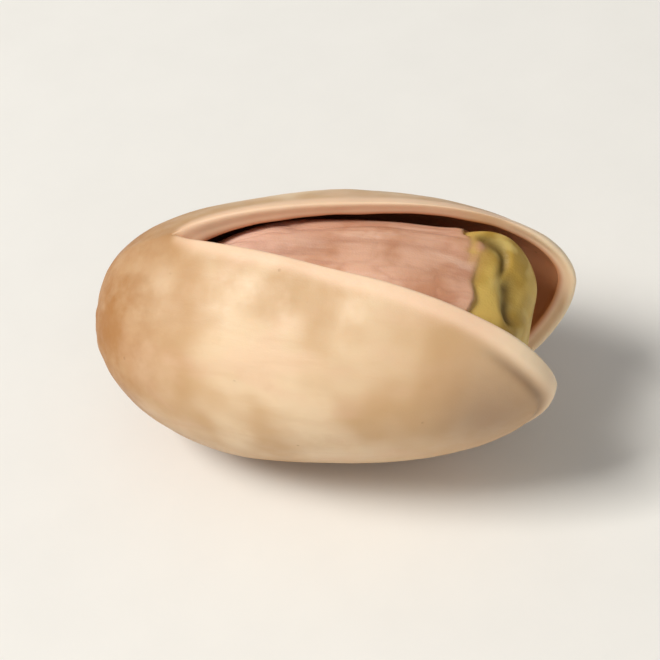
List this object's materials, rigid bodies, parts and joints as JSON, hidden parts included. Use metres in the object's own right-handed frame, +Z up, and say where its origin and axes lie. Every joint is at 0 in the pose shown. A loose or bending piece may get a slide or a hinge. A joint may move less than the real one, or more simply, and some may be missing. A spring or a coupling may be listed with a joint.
{
  "type": "pistachio in shell",
  "caption": "Roasted pistachio in its split shell: a hard cream shell with two gaping valves joined at the stem end, holding a loose kernel with pink-brown skin.",
  "frame": {"origin": "under the middle of the bounding box, on the surface that the nut lies on", "axes": "+X from the stem end to the open tip, +Y across the two valves, +Z up through the split"},
  "size_m": [0.0206, 0.0126, 0.0116],
  "materials": {
    "shell": "smooth, satin, cream with tan ends",
    "kernel": "matte, papery, wrinkled skin"
  },
  "bodies": {
    "root": {"shell": "shell", "kernel": "kernel"}
  },
  "joints": []
}
